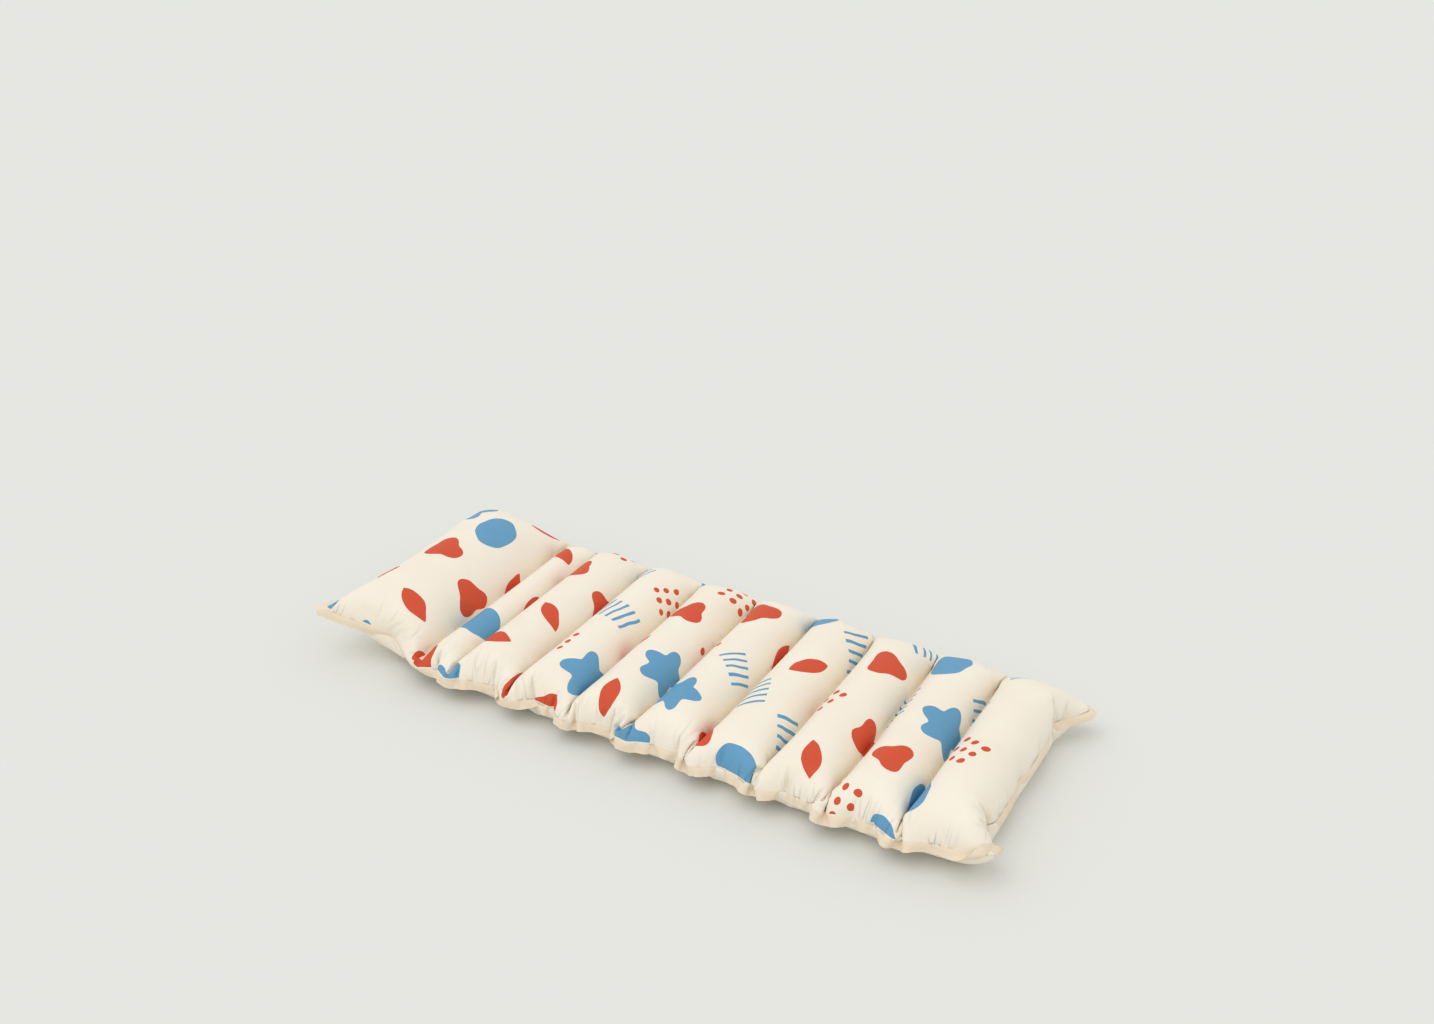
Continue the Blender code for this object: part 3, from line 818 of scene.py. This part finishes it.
# %% [markdown]
# ## The print
# The top sheet is screen printed in blue and red before it is welded. The pattern is a
# generic one: pebbles, flowers, bars, leaves, spots and rounded corners, one in each cell
# of a turned grid. A Voronoi texture gives every cell its middle and a random colour, and
# that colour picks the motif, its turn and its size. Noise bends the outlines a little, as
# in shapes cut from paper. The ink stops short of the hem, and most of the foot tube is
# left bare.

# %% Cells of the print
MOTIF_CELL = 0.162
PRINT_TURN = math.radians(24.0)
PRINT_SHIFT = (-0.121, -0.033, 0.0)
WARPS_PER_METRE = 16.0
WARP = 0.016

printed, tree = new_material("soft_pvc_film_printed")
pattern = add(tree, "UVMap", uv_map="pattern")
warp = add(tree, "TexNoise", {"Vector": pattern, "Scale": WARPS_PER_METRE, "Detail": 1.0})
warp = add(tree, "VectorMath", {0: warp.outputs["Color"], 1: (0.5, 0.5, 0.5)},
           operation="SUBTRACT")
warp = add(tree, "VectorMath", {0: warp, "Scale": WARP}, operation="SCALE")
warped = add(tree, "VectorMath", {0: pattern, 1: warp}, operation="ADD")
turned = add(tree, "VectorRotate", {"Vector": warped, "Angle": PRINT_TURN},
             rotation_type="Z_AXIS")
flat_only = add(tree, "VectorMath", {0: turned, 1: (1, 1, 0), 2: PRINT_SHIFT},
                operation="MULTIPLY_ADD")
cells = add(tree, "TexVoronoi", {"Vector": flat_only, "Scale": 1 / MOTIF_CELL,
                                 "Randomness": 0.14}, voronoi_dimensions="2D")
middle = cells.outputs["Position"]
away = add(tree, "VectorMath", {0: flat_only, 1: middle}, operation="SUBTRACT")
pick = add(tree, "SeparateColor", {"Color": cells.outputs["Color"]})
angle = add(tree, "Math", {0: pick.outputs["Green"], 1: 2 * pi}, operation="MULTIPLY")
local = add(tree, "VectorRotate", {"Vector": away, "Angle": angle}, rotation_type="Z_AXIS")
size = add(tree, "MapRange", {"Value": pick.outputs["Blue"], "To Min": 1.14, "To Max": 0.95})
local = add(tree, "VectorMath", {0: local, "Scale": size}, operation="SCALE")
print("a motif every", MOTIF_CELL * 1000, "mm")

# %% [markdown]
# Each motif is a distance in metres from its own edge, below nought where the ink is. Two
# forms that overlap are the greater of their distances, and a row repeats one form.

# %% Distances from the motifs' edges
PEBBLE_RADIUS = 0.068
# The leaf lies where two discs overlap
LEAF_RADIUS = 0.071
LEAF_APART = 0.048
# A half pitch that is wider than the motif, so nothing repeats along it
UNBROKEN = 1.0


def from_place(place):
    """How far the point is from a place in its cell."""
    moved = add(tree, "VectorMath", {0: local, 1: place}, operation="SUBTRACT")
    return add(tree, "VectorMath", {0: moved}, operation="LENGTH")


def lobed(lobes, radius, depth):
    """A round motif whose edge swells out in so many lobes."""
    spot = add(tree, "SeparateXYZ", {"Vector": local})
    around = add(tree, "Math", {0: spot.outputs["Y"], 1: spot.outputs["X"]},
                 operation="ARCTAN2")
    wave = add(tree, "Math", {0: around, 1: lobes}, operation="MULTIPLY")
    wave = add(tree, "Math", {0: wave}, operation="COSINE")
    edge = add(tree, "Math", {0: wave, 1: depth, 2: radius}, operation="MULTIPLY_ADD")
    return add(tree, "Math", {0: from_place((0, 0, 0)), 1: edge}, operation="SUBTRACT")


def in_rows(half_pitch, width, half_size):
    """Dots, or bars where the pitch is wide, repeated inside a rectangle."""
    back = tuple(-half for half in half_pitch)
    repeated = add(tree, "VectorMath", {0: local, 1: half_pitch, 2: back}, operation="WRAP")
    if half_pitch[1] == UNBROKEN:
        repeated = add(tree, "VectorMath", {0: repeated, 1: (1, 0, 0)}, operation="MULTIPLY")
    off = add(tree, "VectorMath", {0: repeated}, operation="LENGTH")
    off = add(tree, "Math", {0: off, 1: width}, operation="SUBTRACT")
    out = add(tree, "VectorMath", {0: local}, operation="ABSOLUTE")
    out = add(tree, "VectorMath", {0: out, 1: half_size}, operation="SUBTRACT")
    out = add(tree, "SeparateXYZ", {"Vector": out})
    out = add(tree, "Math", {0: out.outputs["X"], 1: out.outputs["Y"]}, operation="MAXIMUM")
    return add(tree, "Math", {0: off, 1: out}, operation="MAXIMUM")


egg = add(tree, "VectorMath", {0: local, 1: (1.0, 1.4, 1.0)}, operation="MULTIPLY")
egg = add(tree, "VectorMath", {0: egg}, operation="LENGTH")
pebble = add(tree, "Math", {0: egg, 1: PEBBLE_RADIUS}, operation="SUBTRACT")
leaf = add(tree, "Math", {0: from_place((0, LEAF_APART, 0)), 1: from_place((0, -LEAF_APART, 0))},
           operation="MAXIMUM")
leaf = add(tree, "Math", {0: leaf, 1: LEAF_RADIUS}, operation="SUBTRACT")
flower = lobed(lobes=5, radius=0.057, depth=0.013)
corner = lobed(lobes=3, radius=0.043, depth=0.009)
bars = in_rows(half_pitch=(0.012, UNBROKEN, 1.0), width=0.0040, half_size=(0.056, 0.034, 0.0))
spots = in_rows(half_pitch=(0.016, 0.016, 1.0), width=0.0088, half_size=(0.042, 0.042, 0.0))
blue_motifs = [(0, pebble), (1, flower), (2, bars)]
red_motifs = [(3, leaf), (4, spots), (5, corner)]
motif_count = len(blue_motifs + red_motifs)
print("motifs:", motif_count)

# %% [markdown]
# The cell's random colour picks its motif, so each motif has a number. The bare area of the
# foot tube is measured at the middle of a cell, so that no motif is cut through.

# %% Ink where its motif is picked
INK_EDGE = -0.004
BARE_FROM = 2.265
choice = add(tree, "Math", {0: pick.outputs["Red"], 1: motif_count}, operation="MULTIPLY")
choice = add(tree, "Math", {0: choice}, operation="FLOOR")
past = add(tree, "Attribute", attribute_name="past_hem").outputs["Fac"]
inside = add(tree, "Math", {0: past, 1: INK_EDGE}, operation="LESS_THAN")
straight = add(tree, "VectorMath", {0: middle, 1: PRINT_SHIFT}, operation="SUBTRACT")
straight = add(tree, "VectorRotate", {"Vector": straight, "Angle": -PRINT_TURN},
               rotation_type="Z_AXIS")
straight = add(tree, "SeparateXYZ", {"Vector": straight})
before_foot = add(tree, "Math", {0: straight.outputs["X"], 1: BARE_FROM},
                  operation="LESS_THAN")
inside = add(tree, "Math", {0: inside, 1: before_foot}, operation="MULTIPLY")


def ink(motifs):
    """Where this ink lies, from its motifs and the numbers that pick them."""
    total = 0.0
    for number, motif in motifs:
        chosen = add(tree, "Math", {0: choice, 1: number, 2: 0.5}, operation="COMPARE")
        filled = add(tree, "Math", {0: motif, 1: 0.0}, operation="LESS_THAN")
        total = add(tree, "Math", {0: chosen, 1: filled, 2: total}, operation="MULTIPLY_ADD")
    return add(tree, "Math", {0: total, 1: inside}, operation="MULTIPLY")


blue_ink = ink(blue_motifs)
red_ink = ink(red_motifs)
colour = add(tree, "Mix", {"Factor": blue_ink, "A": CREAM, "B": BLUE}, data_type="RGBA")
colour = add(tree, "Mix", {"Factor": red_ink, "A": colour.outputs["Result"], "B": RED},
             data_type="RGBA")
film_surface(tree, colour.outputs["Result"])
for piece, sheet, _ in skin:
    piece.data.materials.append(printed if sheet == 0 else plain)
print("made", printed.name, "with", len(tree.nodes), "nodes")

# %% [markdown]
# ## Valves
# The valves are moulded in soft PVC, white and a little glossy, and their check flap is a
# clear one. Their shapes are right in the frame, so they only get their finish. The skin
# that forms on a moulding is faintly mottled, which dulls its gloss here and there.

# %% Moulded vinyl
MOTTLES_PER_METRE = 400.0
MOTTLE_DEPTH = 0.0001


def moulded(name, code, roughness, see_through):
    """Soft PVC from a mould, in this colour, gloss and clearness."""
    material, tree = new_material(name)
    place = add(tree, "TexCoord")
    haze = add(tree, "TexNoise", {"Vector": place.outputs["Object"],
                                  "Scale": MOTTLES_PER_METRE, "Detail": 3.0})
    bump = add(tree, "Bump", {"Height": haze, "Distance": MOTTLE_DEPTH, "Strength": 0.4})
    gloss = add(tree, "MapRange", {"Value": haze, "To Min": roughness - 0.05,
                                   "To Max": roughness + 0.08})
    tone = add(tree, "Mix", {"Factor": haze, "A": linear(code), "B": linear("#E9E6DE")},
               data_type="RGBA")
    shader = add(tree, "BsdfPrincipled", {"Base Color": tone.outputs["Result"],
                                          "Roughness": gloss, "IOR": 1.53, "Normal": bump,
                                          "Transmission Weight": see_through})
    add(tree, "OutputMaterial", {"Surface": shader})
    return material


white = moulded("moulded_soft_pvc_white", "#F4F2EC", roughness=0.36, see_through=0.0)
clear = moulded("soft_pvc_film_clear", "#F2F4F2", roughness=0.22, see_through=0.7)
for node_name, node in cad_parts.items():
    if "valve" in node_name:
        node.data.materials.clear()
        node.data.materials.append(clear if "flap" in node_name else white)
print("valve pieces:", sum("valve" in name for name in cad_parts))

# %% [markdown]
# A strap keeps each plug with its stem. In the frame it is a stiff hook. Here it is a soft
# band that bows outward inside the throat. It is drawn in the valve's own frame, where out
# is away from the axis and deep is into the chamber, and then carried to the valve's seat.

# %% Straps of the plugs
STRAP_STEPS = 16
STRAP_BOW = 0.0011
STRAP_OUT = (0.0065, 0.0076)
STRAP_DEEP = (0.0130, 0.0008)
# Width and thickness at each corner of the band's section
STRAP_SIDES = [(-0.0017, -0.0003), (-0.0014, -0.00045), (0.0014, -0.00045), (0.0017, -0.0003),
               (0.0017, 0.0003), (0.0014, 0.00045), (-0.0014, 0.00045), (-0.0017, 0.0003)]


def strap(valve):
    """A band from the stem's skirt to the plug's head, in place of the frame's hook."""
    _, seat, tilt = seats[valve]
    along = np.array([cos(tilt), 0.0, -sin(tilt)])
    inward = into_chamber(tilt)
    way = np.linspace(0.0, 1.0, STRAP_STEPS)
    out = np.interp(way, (0.0, 1.0), STRAP_OUT) + STRAP_BOW * np.sin(pi * way)
    deep = np.interp(way, (0.0, 1.0), STRAP_DEEP)
    slope = np.arctan2(np.gradient(out), -np.gradient(deep))
    points = [seat + along * (out[k] + thick * cos(slope[k]))
              + inward * (deep[k] + thick * sin(slope[k])) + np.array([0.0, wide, 0.0])
              for k in range(STRAP_STEPS) for wide, thick in STRAP_SIDES]
    sides = len(STRAP_SIDES)
    faces = [(k * sides + n, k * sides + (n + 1) % sides,
              (k + 1) * sides + (n + 1) % sides, (k + 1) * sides + n)
             for k in range(STRAP_STEPS - 1) for n in range(sides)]
    faces += [tuple(range(sides))[::-1], tuple(range(len(points) - sides, len(points)))]
    mesh = bpy.data.meshes.new(f"{valve}_plug_strap")
    mesh.from_pydata(points, [], faces)
    mesh.materials.append(white)
    mesh.shade_smooth()
    band = bpy.data.objects.new(mesh.name, mesh)
    bpy.context.scene.collection.objects.link(band)
    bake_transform(band)
    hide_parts(f"{valve}_valve_tether")
    return band


for valve in ("body", "pillow"):
    print("made", strap(valve).name)

# %% [markdown]
# ## Floor, sky and sun
# The floor is a plain pale sheet in the photograph's own background colour. Most of the
# light comes evenly from all around. The rest is one weak and very wide lamp, high up on
# the camera's side, which shades the far flank of each tube a little. Together they light
# level ground with about one, so a colour comes out as it is written.

# %% Floor
FLOOR_SIZE = 60.0
bpy.ops.object.select_all(action="DESELECT")
bpy.ops.mesh.primitive_plane_add(size=FLOOR_SIZE, location=(0, 0, 0))
floor = bpy.context.object
floor.name = "floor"
paper, tree = new_material("floor_paper")
shader = add(tree, "BsdfPrincipled", {"Base Color": linear("#E5E6E1"), "Roughness": 0.9,
                                      "Specular IOR Level": 0.0})
add(tree, "OutputMaterial", {"Surface": shader})
floor.data.materials.append(paper)
print("floor is", FLOOR_SIZE, "m wide")

# %% Light
SKY = 0.84
SUN = 0.60
SUN_WIDTH = math.radians(50.0)
SUN_FROM = (-0.20, -0.38, 0.90)

world = bpy.data.worlds.new("sky")
bpy.context.scene.world = world
world.use_nodes = True
background = world.node_tree.nodes["Background"]
background.inputs["Color"].default_value = (1, 1, 1, 1)
background.inputs["Strength"].default_value = SKY
bpy.ops.object.light_add(type="SUN", location=(0, 0, 3))
sun = bpy.context.object
sun.name = "wide_lamp"
sun.data.energy = SUN
sun.data.angle = SUN_WIDTH
sun.rotation_euler = Vector(SUN_FROM).to_track_quat("Z", "Y").to_euler()
view = bpy.context.scene.view_settings
view.view_transform = "Standard"
print("light on level ground:", round(SKY + SUN / pi * Vector(SUN_FROM).normalized().z, 2))
